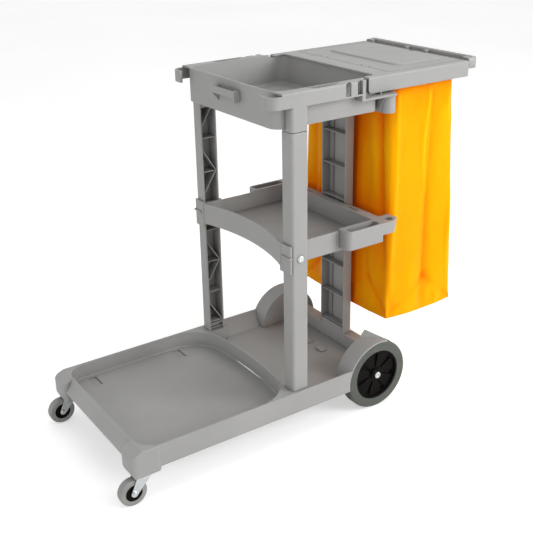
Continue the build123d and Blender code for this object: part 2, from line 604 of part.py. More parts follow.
def bag_frame():
    """Rectangular frame that carries the bag and the lid, behind the tray."""
    shape = block(FRAME_FRONT, FRAME_REAR, -FRAME_HALF_W, FRAME_HALF_W, FRAME_BOTTOM, FRAME_TOP)
    shape = fillet(shape.edges().filter_by(Axis.Z).filter_by(lambda e: e.center().X > 500), 10)
    low_front = shape.edges().filter_by(Axis.Y).filter_by(
        lambda e: e.center().X < FRAME_FRONT + 1 and e.center().Z < FRAME_BOTTOM + 1)
    shape = fillet(low_front, 11)
    top_edges = shape.edges().group_by(Axis.Z)[-1]
    shape = fillet(top_edges, 5)
    inner_w = FRAME_HALF_W - WALL
    shape -= block(FRAME_FRONT - 1, FRAME_REAR - WALL, -inner_w, inner_w, FRAME_BOTTOM - 1, FRAME_TOP - 4.5)
    # open over the tray, ahead of the cross strip
    shape -= rounded_block(FRAME_FRONT - 40, STRIP_FRONT, -201, 201, FRAME_BOTTOM - 1, FRAME_TOP + 1, 12)
    # lid opening and the rebate under it
    shape -= block(LID_SLOT_FRONT, LID_REAR + LID_GAP, -LID_HALF_W - LID_GAP, LID_HALF_W + LID_GAP,
                   FRAME_TOP - 4.5, FRAME_TOP + 1)
    ledge_z = FRAME_TOP - LID_SHEET
    rebate = block(292, FRAME_REAR - 1, -inner_w - 1, inner_w + 1, ledge_z - 4, ledge_z)
    rebate -= block(300, 531, -187, 187, 900, 980)
    # collar that the bag's mouth is stretched over
    collar = rounded_block(297, 530, -190, 190, COLLAR_BOTTOM, ledge_z - 1, 34)
    collar -= rounded_block(300, 527, -187, 187, COLLAR_BOTTOM - 1, ledge_z + 1, 31)
    rebate -= rounded_block(300, 527, -187, 187, 900, 980, 31)
    # box beam that sits on the tray's rear deck
    beam_rear = LID_SLOT_FRONT - 0.5
    beam = block(TRAY_BACK + 4, beam_rear, -186, 186, LEDGE_TOP, FRAME_TOP - 4)
    beam -= block(TRAY_BACK + 8, beam_rear - 4, -182, 182, LEDGE_TOP + 4, FRAME_TOP - 4)
    shape += rebate + beam + collar
    # web between the beam and the collar's rebate
    shape += both_sides(block(beam_rear - 2, 299, 118, 160, ledge_z - 18, ledge_z - 9))
    for y in (HINGE_Y - 16, HINGE_Y + 16):
        shape += both_sides(hinge_lug(y))
    shape -= both_sides(rod_y(HINGE_X, HINGE_Z, HINGE_Y - 21, HINGE_Y + 21, HINGE_PIN_R))
    # small locating tab between the skirt and the tray's ledge
    shape += both_sides(block(232, 236, FRAME_HALF_W - 3, FRAME_HALF_W, LEDGE_TOP, FRAME_BOTTOM + 1))
    for x, y, along_x in peg_places():
        shape -= peg_bore(x, y, along_x, 8)
    for y in FRAME_SCREW_ROWS:
        shape -= rod_z(FRAME_SCREW_X, y, LEDGE_TOP - 1, LEDGE_TOP + 5, SCREW_R + FIT_GAP)
    for y in HANDLE_SCREW_ROWS:
        shape -= rod_x(FRAME_REAR - WALL - 1, FRAME_REAR + 1, y, HANDLE_SCREW_Z, SCREW_R + FIT_GAP)
    return shape


def peg_places():
    """Mid points of the snap pegs on the collar: (x, y, along_x)."""
    places = []
    for x in (355, 413, 471):
        places += [(x, 190, False), (x, -190, False)]
    for y in (-95, 95):
        places.append((530, y, True))
    return places


def peg_bore(x, y, along_x, reach):
    """Hole for one snap peg."""
    if along_x:
        return rod_x(x - reach, x + reach, y, PEG_Z, PEG_R + 0.2)
    return rod_y(x, PEG_Z, y - reach, y + reach, PEG_R + 0.2)


def bag_snap_pegs():
    """Short headed pegs that hold the bag's hem on the collar."""
    shape = None
    for x, y, along_x in peg_places():
        way = 1 if (x if along_x else y) > 0 else -1
        if along_x:
            peg = rod_x(x - 6, x + 5, y, PEG_Z, PEG_R) + rod_x(x + 4.2, x + 7, y, PEG_Z, PEG_HEAD_R)
        else:
            peg = rod_y(x, PEG_Z, y - way * 6, y + way * 5, PEG_R)
            peg += rod_y(x, PEG_Z, y + way * 4.2, y + way * 7, PEG_HEAD_R)
        shape = peg if shape is None else shape + peg
    return shape


def bag_lid():
    """Flat flap with a raised panel, hinged along its front edge."""
    plate = block(LID_FRONT, LID_REAR, -LID_HALF_W, LID_HALF_W, FRAME_TOP - LID_SHEET, FRAME_TOP)
    front_edge = plate.edges().filter_by(Axis.Y).filter_by(
        lambda e: e.center().X < LID_FRONT + 1 and e.center().Z > FRAME_TOP - 1)
    plate = fillet(front_edge, 3)
    panel_low = Pos(434, 0, FRAME_TOP - 0.5) * RectangleRounded(174, 306, 29)
    panel_high = Pos(434, 0, FRAME_TOP + 4.5) * RectangleRounded(166, 298, 25)
    panel = loft([panel_low, panel_high])
    panel = fillet(panel.edges().group_by(Axis.Z)[-1], 2.5)
    shape = plate + panel
    shape -= block(354, 514, -146, 146, FRAME_TOP - LID_SHEET - 1, FRAME_TOP - LID_SHEET + 3.5)
    for y in (HINGE_Y - 16, HINGE_Y + 16):
        shape -= both_sides(block(LID_FRONT - 2, HINGE_X + 8, y - 3.5, y + 3.5, 950, 980))
    barrel = rod_y(HINGE_X, HINGE_Z, HINGE_Y - 12.5, HINGE_Y + 12.5, 4)
    shape += both_sides(barrel)
    shape -= both_sides(rod_y(HINGE_X, HINGE_Z, HINGE_Y - 13, HINGE_Y + 13, HINGE_PIN_R + RUNNING_GAP))
    # finger notch at the rear edge
    shape -= Pos(LID_REAR + 4, 0, FRAME_TOP) * Cylinder(13, 20)
    return shape


def lid_hinge_pins():
    """Two short pins, one in each pair of lugs."""
    pin = rod_y(HINGE_X, HINGE_Z, HINGE_Y - 19, HINGE_Y + 19, HINGE_PIN_R)
    return both_sides(pin)


def push_handle():
    """Grip bar across the rear, on two turned ends and two struts."""
    height = HANDLE_TOP - HANDLE_BOTTOM
    bar = block(HANDLE_FRONT, HALF_LENGTH, -HANDLE_HALF_W, HANDLE_HALF_W, HANDLE_BOTTOM, HANDLE_TOP)
    rear_edges = bar.edges().filter_by(Axis.Y).filter_by(lambda e: e.center().X > HALF_LENGTH - 1)
    bar = fillet(rear_edges, 14)
    bar = fillet(bar.edges().filter_by(Axis.Y).filter_by(
        lambda e: e.center().X < HANDLE_FRONT + 1), 5)
    end = block(FRAME_REAR, HANDLE_FRONT + 12, 190, HANDLE_HALF_W, HANDLE_BOTTOM + 2, HANDLE_TOP - 2)
    strut = block(FRAME_REAR, HANDLE_FRONT + 4, 34, 46, HANDLE_BOTTOM + 4, HANDLE_TOP - 4)
    shape = bar + both_sides(end) + both_sides(strut)
    # the bar turns in at both ends, seen from above and from the rear
    turned = rounded_block(FRAME_REAR - 40, HALF_LENGTH, -HANDLE_HALF_W, HANDLE_HALF_W,
                           HANDLE_BOTTOM, HANDLE_TOP, HANDLE_TURN_R)
    from_rear = extrude(RectangleRounded(height, 2 * HANDLE_HALF_W, 11), 60)
    from_rear = Pos(FRAME_REAR - 1, 0, HANDLE_BOTTOM + height / 2) * Rot(0, 90, 0) * from_rear
    shape = shape & turned & from_rear
    shape += block(FRAME_REAR, FRAME_REAR + 3, -HANDLE_HALF_W + 12, HANDLE_HALF_W - 12,
                   HANDLE_BOTTOM + 2, HANDLE_TOP - 10)
    for y in HANDLE_SCREW_ROWS:
        shape -= rod_x(FRAME_REAR - 1, FRAME_REAR + 13, y, HANDLE_SCREW_Z, SCREW_R)
    return shape


def handle_screws():
    """Screws from inside the frame's rear wall into the handle."""
    shape = None
    for y in HANDLE_SCREW_ROWS:
        screw = rod_x(FRAME_REAR - WALL - 2.5, FRAME_REAR - WALL, y, HANDLE_SCREW_Z, 4.5)
        screw += rod_x(FRAME_REAR - WALL - 1, FRAME_REAR + 12, y, HANDLE_SCREW_Z, SCREW_R)
        shape = screw if shape is None else shape + screw
    return shape


def frame_screws():
    """Screws that hold the bag frame's beam down on the tray's deck."""
    shape = None
    for y in FRAME_SCREW_ROWS:
        screw = rod_z(FRAME_SCREW_X, y, LEDGE_TOP + 4, LEDGE_TOP + 6.5, 5)
        screw += rod_z(FRAME_SCREW_X, y, LEDGE_TOP - 5, LEDGE_TOP + 5, SCREW_R)
        shape = screw if shape is None else shape + screw
    return shape


# --- bag ---

def bag_section(x0, x1, half_w, radius, z):
    """One level outline of the bag."""
    return Pos((x0 + x1) / 2, 0, z) * RectangleRounded(x1 - x0, 2 * half_w, radius)


def waste_bag():
    """Open-topped bag: straight mouth over the collar, slightly fuller below."""
    wall = BAG_WALL
    mouth = (296.4, 530.6, 190.6, 34.6)
    outer_top = (mouth[0] - wall, mouth[1] + wall, mouth[2] + wall, mouth[3] + wall)
    outer_low = (300, 556, 195, 22)
    outer = loft([bag_section(*outer_low, BAG_BOTTOM), bag_section(*outer_top, 880)])
    outer = fillet(outer.edges().group_by(Axis.Z)[0], 6)
    outer += extrude(bag_section(*outer_top, 880), BAG_TOP - 880)
    low = (outer_low[0] + wall, outer_low[1] - wall, outer_low[2] - wall, outer_low[3] - wall)
    inner = loft([bag_section(*low, BAG_BOTTOM + wall), bag_section(*mouth, 880)])
    inner = fillet(inner.edges().group_by(Axis.Z)[0], 4)
    inner += extrude(bag_section(*mouth, 880), BAG_TOP + 1 - 880)
    shape = outer - inner
    for x, y, along_x in peg_places():
        shape -= peg_bore(x, y, along_x, 8)
    return shape


# --- rear axle and wheels ---

def rear_axle():
    """Plain steel bar through both wheels."""
    return rod_y(AXLE_X, AXLE_Z, -HUB_OUT - 6, HUB_OUT + 6, AXLE_R)


def axle_spacers():
    """Tube spacers between the wheel wells and the hubs."""
    tube = rod_y(AXLE_X, AXLE_Z, WELL_IN + 0.3, WHEEL_IN - 0.5, 10)
    tube -= rod_y(AXLE_X, AXLE_Z, WELL_IN, WHEEL_IN, AXLE_R)
    return both_sides(tube)


def axle_caps():
    """Push-on caps at the axle's ends."""
    cap = rod_y(AXLE_X, AXLE_Z, HUB_OUT + 0.8, HUB_OUT + 8, CAP_R)
    cap = fillet(cap.edges().group_by(Axis.Y)[-1], 2)
    cap -= rod_y(AXLE_X, AXLE_Z, HUB_OUT, HUB_OUT + 6, AXLE_R)
    cap -= rod_y(AXLE_X, AXLE_Z, HUB_OUT + 7, HUB_OUT + 9, 4)
    return both_sides(cap)


def clip_screw_places():
    """Plan positions of the screws through the axle's clips."""
    y = (CLIP_IN + CLIP_OUT) / 2
    return [(AXLE_X + way * CLIP_SCREW, side * y) for way in (-1, 1) for side in (-1, 1)]


def axle_clips():
    """Saddle clips that hold the axle up under the rear floor."""
    ceiling = BACK_FLOOR - WALL
    outer_r = AXLE_R + CLIP_SHEET
    clip = rod_y(AXLE_X, AXLE_Z, CLIP_IN, CLIP_OUT, outer_r)
    clip += block(AXLE_X - outer_r, AXLE_X + outer_r, CLIP_IN, CLIP_OUT, AXLE_Z, ceiling)
    clip += block(AXLE_X - CLIP_EAR, AXLE_X + CLIP_EAR, CLIP_IN, CLIP_OUT, ceiling - CLIP_SHEET, ceiling)
    clip &= block(AXLE_X - CLIP_EAR, AXLE_X + CLIP_EAR, CLIP_IN, CLIP_OUT, AXLE_Z - outer_r, ceiling)
    clip -= rod_y(AXLE_X, AXLE_Z, CLIP_IN - 1, CLIP_OUT + 1, AXLE_R)
    clip -= block(AXLE_X - AXLE_R, AXLE_X + AXLE_R, CLIP_IN - 1, CLIP_OUT + 1, AXLE_Z, ceiling + 1)
    shape = both_sides(clip)
    for x, y in clip_screw_places():
        shape -= rod_z(x, y, ceiling - CLIP_SHEET - 1, ceiling + 1, SCREW_R + FIT_GAP)
    return shape


def axle_clip_screws():
    """Screws through the clips into the rear floor."""
    low = BACK_FLOOR - WALL - CLIP_SHEET
    shape = None
    for x, y in clip_screw_places():
        screw = rod_z(x, y, low - 2.4, low, 4.2) + rod_z(x, y, low - 1, BACK_FLOOR - 1.5, SCREW_R)
        shape = screw if shape is None else shape + screw
    return shape


def rear_tyre():
    """Grey rubber tread ring (right side)."""
    shape = rod_y(AXLE_X, AXLE_Z, WHEEL_IN, WHEEL_OUT, TYRE_R)
    shape = fillet(shape.edges().filter_by(GeomType.CIRCLE), 7)
    return shape - rod_y(AXLE_X, AXLE_Z, WHEEL_IN - 1, WHEEL_OUT + 1, HUB_R)


def rear_hub():
    """Black wheel centre with seven wedge grooves between broad sectors (right side)."""
    shape = rod_y(AXLE_X, AXLE_Z, WHEEL_IN, HUB_OUT, HUB_R - 0.02)
    face = HUB_OUT - 5
    dish = rod_y(AXLE_X, AXLE_Z, face, HUB_OUT + 1, HUB_R - 5)
    dish -= rod_y(AXLE_X, AXLE_Z, face - 1, HUB_OUT + 2, 18)
    shape -= dish
    groove_count = 7
    for index in range(groove_count):
        middle = 90 + index * 360 / groove_count
        corners = [(radius * cos(radians(middle + turn)), radius * sin(radians(middle + turn)))
                   for radius, turn in ((24, -4), (66, -8), (66, 8), (24, 4))]
        shape -= side_solid([(AXLE_X + x, AXLE_Z + z) for x, z in corners], face - 5, HUB_OUT + 1)
    inner = rod_y(AXLE_X, AXLE_Z, WHEEL_IN - 1, WHEEL_IN + 10, HUB_R - 6)
    inner -= rod_y(AXLE_X, AXLE_Z, WHEEL_IN - 2, WHEEL_IN + 11, 16)
    shape -= inner
    return shape - rod_y(AXLE_X, AXLE_Z, WHEEL_IN - 1, HUB_OUT + 1, AXLE_R + RUNNING_GAP)


# --- front casters (right side) ---

def caster_stem():
    """Fixed stem in the corner block, with its top race and the kingpin below."""
    shape = rod_z(CASTER_X, CASTER_Y, HEAD_TOP + 0.5, STEM_TOP, STEM_R)
    shape += rod_z(CASTER_X, CASTER_Y, HEAD_TOP + 0.5, 95.5, HEAD_R - 2)
    shape += rod_z(CASTER_X, CASTER_Y, 73, HEAD_TOP + 1, KINGPIN_R)
    return shape + rod_z(CASTER_X, CASTER_Y, 72.5, 75.5, 7)


def caster_bearing():
    """Dark swivel head on top of the fork."""
    shape = rod_z(CASTER_X, CASTER_Y, FORK_TOP, HEAD_TOP, HEAD_R)
    shape = fillet(shape.edges().filter_by(GeomType.CIRCLE), 3)
    return shape - rod_z(CASTER_X, CASTER_Y, FORK_TOP - 1, HEAD_TOP + 1, KINGPIN_R + RUNNING_GAP)


def caster_fork():
    """Pressed zinc fork with two tapering legs."""
    axle_x = CASTER_X - CASTER_TRAIL
    bottom = FORK_TOP - FORK_SHEET
    top = block(CASTER_X - 20, CASTER_X + 18, CASTER_Y - FORK_IN - FORK_SHEET,
                CASTER_Y + FORK_IN + FORK_SHEET, bottom, FORK_TOP)
    tip = 9.0
    round_end = Pos(axle_x, CASTER_R) * Circle(tip)
    shoulder = Pos(CASTER_X - 1, bottom + 0.6) * Rectangle(38, 3.2)
    leg_face = make_hull(round_end.edges() + shoulder.edges())
    leg = extrude(Plane.XZ * leg_face, FORK_SHEET)
    legs = None
    for y in (CASTER_Y - FORK_IN, CASTER_Y + FORK_IN + FORK_SHEET):
        piece = Pos(0, y, 0) * leg
        legs = piece if legs is None else legs + piece
    shape = top + legs
    shape = shape & block(-620, -450, 190, 270, 20, FORK_TOP)
    shape -= rod_y(axle_x, CASTER_R, 200, 260, CASTER_AXLE_R)
    return shape - rod_z(CASTER_X, CASTER_Y, 60, 100, KINGPIN_R + RUNNING_GAP)


def caster_axle():
    """Bolt through the fork, with its head and nut."""
    x = CASTER_X - CASTER_TRAIL
    reach = FORK_IN + FORK_SHEET
    shape = rod_y(x, CASTER_R, CASTER_Y - reach - 4, CASTER_Y + reach + 3, CASTER_AXLE_R)
    shape += rod_y(x, CASTER_R, CASTER_Y + reach, CASTER_Y + reach + 3.2, 6.5)
    nut = Plane.XZ * RegularPolygon(6.5, 6)
    return shape + Pos(x, CASTER_Y - reach, CASTER_R) * extrude(nut, 4)


def caster_tread():
    """Grey tread ring of a front wheel."""
    x = CASTER_X - CASTER_TRAIL
    shape = rod_y(x, CASTER_R, CASTER_Y - CASTER_HALF_W, CASTER_Y + CASTER_HALF_W, CASTER_R)
    shape = fillet(shape.edges().filter_by(GeomType.CIRCLE), 5)
    return shape - rod_y(x, CASTER_R, CASTER_Y - 20, CASTER_Y + 20, CASTER_HUB_R)


def caster_hub():
    """Black centre of a front wheel."""
    x = CASTER_X - CASTER_TRAIL
    shape = rod_y(x, CASTER_R, CASTER_Y - CASTER_HALF_W + 1.5, CASTER_Y + CASTER_HALF_W - 1.5,
                  CASTER_HUB_R - 0.02)
    shape += rod_y(x, CASTER_R, CASTER_Y - FORK_IN + 0.4, CASTER_Y + FORK_IN - 0.4, 8)
    return shape - rod_y(x, CASTER_R, CASTER_Y - 20, CASTER_Y + 20, CASTER_AXLE_R + RUNNING_GAP)


# --- screws ---

def shelf_screws():
    """Domed screws through the front posts into the shelf's clips."""
    x = (POST_FRONT + POST_REAR) / 2
    z = SHELF_BOTTOM + 26
    height = 5.0
    head = rod_y(x, z, POST_OUT, POST_OUT + height, SHELF_SCREW_R)
    head = fillet(head.edges().group_by(Axis.Y)[-1], 4.4)
    for across, tall in ((9, 1.8), (1.8, 9)):
        head -= block(x - across / 2, x + across / 2, POST_OUT + height - 1.8, POST_OUT + height + 1,
                      z - tall / 2, z + tall / 2)
    return both_sides(head + rod_y(x, z, POST_OUT - 4, POST_OUT + 1, 3))


def pair(name, maker):
    """Left and right copies of a part made for the right side."""
    right = maker()
    return {name + "_right": right, name + "_left": mirrored(right)}


def all_parts():
    """Every node of the cart."""
    parts = {
        "base_platform": base_platform(),
        "rear_post": rear_post(),
        "middle_shelf": middle_shelf(),
        "top_tray": top_tray(),
        "bag_frame": bag_frame(),
        "push_handle": push_handle(),
        "bag_lid": bag_lid(),
        "lid_hinge_pins": lid_hinge_pins(),
        "bag_snap_pegs": bag_snap_pegs(),
        "handle_screws": handle_screws(),
        "frame_screws": frame_screws(),
        "shelf_screws": shelf_screws(),
        "waste_bag": waste_bag(),
        "rear_axle": rear_axle(),
        "axle_spacers": axle_spacers(),
        "axle_caps": axle_caps(),
        "axle_clips": axle_clips(),
        "axle_clip_screws": axle_clip_screws(),
    }
    parts.update(pair("front_post", front_post))
    parts.update(pair("rear_tyre", rear_tyre))
    parts.update(pair("rear_hub", rear_hub))
    parts.update(pair("caster_stem", caster_stem))
    parts.update(pair("caster_bearing", caster_bearing))
    parts.update(pair("caster_fork", caster_fork))
    parts.update(pair("caster_axle", caster_axle))
    parts.update(pair("caster_tread", caster_tread))
    parts.update(pair("caster_hub", caster_hub))
    return parts


os.makedirs("parts", exist_ok=True)
for node, solid in all_parts().items():
    export_step(solid, "parts/" + node + ".step")
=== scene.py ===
import json
import math

import bmesh
import bpy
import numpy as np
from mathutils import Matrix, Vector, noise


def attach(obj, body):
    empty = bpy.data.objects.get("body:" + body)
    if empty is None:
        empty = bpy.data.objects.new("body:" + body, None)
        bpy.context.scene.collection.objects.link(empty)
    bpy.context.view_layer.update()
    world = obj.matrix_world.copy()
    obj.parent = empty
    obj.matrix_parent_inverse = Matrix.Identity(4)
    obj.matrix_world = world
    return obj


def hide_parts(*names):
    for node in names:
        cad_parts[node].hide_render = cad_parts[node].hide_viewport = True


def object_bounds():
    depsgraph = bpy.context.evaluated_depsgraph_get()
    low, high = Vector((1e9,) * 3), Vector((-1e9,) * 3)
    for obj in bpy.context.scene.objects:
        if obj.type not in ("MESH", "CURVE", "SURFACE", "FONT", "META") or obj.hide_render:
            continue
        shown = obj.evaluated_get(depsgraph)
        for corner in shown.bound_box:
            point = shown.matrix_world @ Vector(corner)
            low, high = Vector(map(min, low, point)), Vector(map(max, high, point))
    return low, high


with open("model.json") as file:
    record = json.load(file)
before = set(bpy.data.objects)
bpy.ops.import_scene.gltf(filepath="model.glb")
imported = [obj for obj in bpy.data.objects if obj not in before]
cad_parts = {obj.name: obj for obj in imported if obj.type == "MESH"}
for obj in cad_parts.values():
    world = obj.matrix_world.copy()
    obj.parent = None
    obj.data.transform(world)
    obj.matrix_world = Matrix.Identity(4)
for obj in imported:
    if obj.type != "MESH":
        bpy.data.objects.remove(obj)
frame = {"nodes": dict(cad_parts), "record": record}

# The looks of a janitor's cart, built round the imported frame. Metres, in the frame's own axes:
# +Z up, -X to the front platform, -Y to the near side.

CAD_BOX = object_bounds()
MM = 0.001


# --- camera ---

CAMERA_AT = Vector((-1.2821, -1.9418, 1.4331))
AZIMUTH = math.radians(-33.042)
ELEVATION = math.radians(22.349)
ROLL = math.radians(-1.4006)
SENSOR_WIDTH = 36.0
FOCAL_LENGTH = 60.43
SHIFT_X = 0.0211
SHIFT_Y = -0.0317
NEAREST = 0.05
FARTHEST = 200.0


def make_camera():
    """Camera at the height and side from which the cart is shown."""
    data = bpy.data.cameras.new("camera")
    data.sensor_width = SENSOR_WIDTH
    data.lens = FOCAL_LENGTH
    data.shift_x = SHIFT_X
    data.shift_y = SHIFT_Y
    data.clip_start = NEAREST
    data.clip_end = FARTHEST
    back = Vector((math.sin(AZIMUTH) * math.cos(ELEVATION), -math.cos(AZIMUTH) * math.cos(ELEVATION),
                   math.sin(ELEVATION)))
    level = Vector((0, 0, 1)).cross(back).normalized()
    upright = back.cross(level)
    right = level * math.cos(ROLL) + upright * math.sin(ROLL)
    up = back.cross(right)
    camera = bpy.data.objects.new("camera", data)
    bpy.context.scene.collection.objects.link(camera)
    camera.matrix_world = Matrix.Translation(CAMERA_AT) @ Matrix((right, up, back)).transposed().to_4x4()
    bpy.context.scene.camera = camera


# --- materials ---

# sockets of Blender's mix node when it mixes colours
MIX_FACTOR = 0
MIX_FIRST = 6
MIX_SECOND = 7
MIX_RESULT = 2
EDGE_SAMPLES = 4
SHADE_SAMPLES = 3
RELIEF = "relief"


class Graph:
    """A material with short calls that add and join nodes."""

    def __init__(self, name):
        self.material = bpy.data.materials.new(name)
        self.material.use_nodes = True
        self.tree = self.material.node_tree
        self.shader = self.tree.nodes["Principled BSDF"]
        self.place = self.add("ShaderNodeTexCoord").outputs["Object"]

    def add(self, kind, **inputs):
        """New node; each named input gets a value or a link."""
        node = self.tree.nodes.new(kind)
        for name, value in inputs.items():
            self.feed(node, name.replace("_", " "), value)
        return node

    def feed(self, node, name, value):
        """Link a socket into an input, or set the input's own value."""
        socket = node.inputs[name]
        if isinstance(value, bpy.types.NodeSocket):
            self.tree.links.new(value, socket)
        else:
            socket.default_value = value

    def stretched(self, x, y, z):
        """The object's coordinates, scaled along each axis."""
        node = self.add("ShaderNodeMapping", Vector=self.place, Scale=(x, y, z))
        return node.outputs[0]

    def noise(self, scale, detail=2.0, rough=0.5, vector=None):
        """Cloudy noise, scale in features per metre."""
        node = self.add("ShaderNodeTexNoise", Vector=vector or self.place, Scale=scale,
                        Detail=detail, Roughness=rough)
        return node.outputs[0]

    def cells(self, scale):
        """Crystal-like patches, scale in patches per metre."""
        return self.add("ShaderNodeTexVoronoi", Vector=self.place, Scale=scale).outputs[0]

    def span(self, value, low, high, to_low=0.0, to_high=1.0):
        """The value carried from one range to another, and held at its ends."""
        node = self.add("ShaderNodeMapRange")
        self.feed(node, "Value", value)
        ends = {"From Min": low, "From Max": high, "To Min": to_low, "To Max": to_high}
        for name, number in ends.items():
            node.inputs[name].default_value = number
        return node.outputs[0]

    def times(self, a, b):
        """Product of two values."""
        node = self.tree.nodes.new("ShaderNodeMath")
        node.operation = "MULTIPLY"
        self.feed(node, 0, a)
        self.feed(node, 1, b)
        return node.outputs[0]

    def blend(self, factor, first, second, way="MIX"):
        """Two colours blended, each given as (red, green, blue) or as a socket."""
        node = self.tree.nodes.new("ShaderNodeMix")
        node.data_type = "RGBA"
        node.blend_type = way
        self.feed(node, MIX_FACTOR, factor)
        for index, value in ((MIX_FIRST, first), (MIX_SECOND, second)):
            if isinstance(value, tuple):
                value = (*value, 1.0)
            self.feed(node, index, value)
        return node.outputs[MIX_RESULT]

    def bump(self, height, strength, distance, normal=None):
        """Normals tilted by a height pattern, over rounded normals if they are given."""
        node = self.add("ShaderNodeBump", Height=height, Strength=strength, Distance=distance)
        if normal is not None:
            self.feed(node, "Normal", normal)
        return node.outputs[0]

    def edges(self, radius):
        """Normals rounded over an edge, and a mask that is 1 on the edge."""
        soft = self.add("ShaderNodeBevel", Radius=radius)
        soft.samples = EDGE_SAMPLES
        flat = self.add("ShaderNodeNewGeometry").outputs["Normal"]
        dot = self.tree.nodes.new("ShaderNodeVectorMath")
        dot.operation = "DOT_PRODUCT"
        self.feed(dot, 0, soft.outputs[0])
        self.feed(dot, 1, flat)
        return soft.outputs[0], self.span(dot.outputs["Value"], 0.995, 0.86)

    def relief(self):
        """Height of the bag's fine folds at this point, kept on its mesh."""
        node = self.tree.nodes.new("ShaderNodeAttribute")
        node.attribute_name = RELIEF
        return node.outputs["Fac"]

    def openness(self, reach):
        """1 where nothing stands within reach, down to 0 in a deep corner."""
        node = self.add("ShaderNodeAmbientOcclusion", Distance=reach)
        node.samples = SHADE_SAMPLES
        return node.outputs["AO"]

    def with_painted_shade(self, colour, reach, depth):
        """The colour with painted shade: darker in corners and gaps, where shade falls."""
        shade = self.span(self.openness(reach), 0.15, 0.85, 1.0 - depth, 1.0)
        return self.blend(1.0, colour, shade, "MULTIPLY")

    def finish(self, colour, roughness, normal):
        """Join colour, roughness and normals to the shader."""
        self.feed(self.shader, "Base Color", colour)
        self.feed(self.shader, "Roughness", roughness)
        self.feed(self.shader, "Normal", normal)
        return self.material


def grey_plastic():
    """Injection-moulded polypropylene: fine sparked grain, faint cloudiness, edges painted paler as a
    highlight, corners and gaps painted darker as shade.
    """
    g = Graph("grey_plastic")
    rounded, edge = g.edges(1.3 * MM)
    cloud = g.noise(7.0, 3.0, 0.55)
    base = g.blend(g.span(cloud, 0.3, 0.7), (0.345, 0.343, 0.335), (0.375, 0.372, 0.364))
    scuff = g.noise(46.0, 6.0, 0.7, g.stretched(1.0, 0.25, 1.0))
    base = g.blend(g.span(scuff, 0.66, 0.74, 0.0, 0.10), base, (0.50, 0.50, 0.49))
    # painted highlight: a paler band along every edge
    base = g.blend(g.times(edge, 0.5), base, (0.60, 0.60, 0.59))
    # painted shade: darker near other surfaces within 38 mm, and darker still in gaps within 5 mm
    base = g.with_painted_shade(base, 38 * MM, 0.34)
    base = g.with_painted_shade(base, 5 * MM, 0.66)
    rough = g.span(g.noise(19.0, 4.0, 0.6), 0.3, 0.7, 0.40, 0.52)
    grain = g.bump(g.noise(1500.0, 3.0, 0.6), 0.16, 0.35 * MM, rounded)
    return g.finish(base, rough, grain)


def yellow_vinyl():
    """Coated vinyl sheet: smooth skin over a faint woven backing."""
    g = Graph("yellow_vinyl")
    cloud = g.noise(6.0, 3.0, 0.5)
    base = g.blend(g.span(cloud, 0.3, 0.7), (0.98, 0.40, 0.0003), (1.0, 0.44, 0.0006))
    # painted shade and painted highlight: hollows of the folds are painted deeper orange and their
    # ridges paler
    relief = g.relief()
    base = g.blend(g.span(relief, -1 * MM, -9 * MM), base, (0.93, 0.20, 0.0003))
    base = g.blend(g.span(relief, 1 * MM, 7 * MM, 0.0, 0.8), base, (1.0, 0.58, 0.004))
    # painted shade: the sheet is painted deep orange where other parts stand within 160 mm
    base = g.blend(g.span(g.openness(160 * MM), 0.45, 0.97), (1.0, 0.165, 0.0003), base)
    rough = g.span(g.noise(30.0, 3.0, 0.6), 0.3, 0.7, 0.24, 0.34)
    weave = g.noise(900.0, 2.0, 0.5, g.stretched(1.0, 1.0, 0.35))
    normal = g.bump(weave, 0.07, 0.3 * MM)
    g.shader.inputs["Specular IOR Level"].default_value = 0.035
    return g.finish(base, rough, normal)


def tread(name, dark, light):
    """Non-marking grey rubber."""
    g = Graph(name)
    rounded, edge = g.edges(0.8 * MM)
    cloud = g.noise(24.0, 4.0, 0.6)
    base = g.blend(g.span(cloud, 0.3, 0.7), dark, light)
    # painted highlight: a paler band along every edge
    base = g.blend(g.times(edge, 0.25), base, tuple(min(1.0, 1.6 * tone) for tone in light))
    rough = g.span(g.noise(60.0, 3.0, 0.6), 0.3, 0.7, 0.42, 0.56)
    grain = g.bump(g.noise(1200.0, 3.0, 0.6), 0.2, 0.3 * MM, rounded)
    return g.finish(base, rough, grain)


def black_plastic():
    """Satin black moulding."""
    g = Graph("black_plastic")
    rounded, edge = g.edges(0.8 * MM)
    cloud = g.noise(20.0, 3.0, 0.5)
    base = g.blend(g.span(cloud, 0.3, 0.7), (0.003, 0.0026, 0.0022), (0.005, 0.0045, 0.004))
    # painted highlight: a paler band along every edge
    base = g.blend(g.times(edge, 0.3), base, (0.05, 0.05, 0.05))
    rough = g.span(g.noise(45.0, 3.0, 0.6), 0.3, 0.7, 0.36, 0.46)
    grain = g.bump(g.noise(1500.0, 2.0, 0.5), 0.12, 0.25 * MM, rounded)
    g.shader.inputs["Specular IOR Level"].default_value = 0.08
    return g.finish(base, rough, grain)


def zinc():
    """Bright zinc plating with faint rolling marks and dull patches."""
    g = Graph("zinc")
    rounded, edge = g.edges(0.6 * MM)
    patch = g.cells(120.0)
    base = g.blend(g.span(patch, 0.1, 0.9), (0.70, 0.735, 0.74), (0.80, 0.83, 0.835))
    # painted highlight: a paler band along every edge
    base = g.blend(g.times(edge, 0.3), base, (0.92, 0.93, 0.93))
    rolled = g.noise(700.0, 3.0, 0.6, g.stretched(1.0, 1.0, 0.05))
    rough = g.span(rolled, 0.3, 0.7, 0.22, 0.36)
    normal = g.bump(rolled, 0.08, 0.2 * MM, rounded)
    g.shader.inputs["Metallic"].default_value = 1.0
    return g.finish(base, rough, normal)


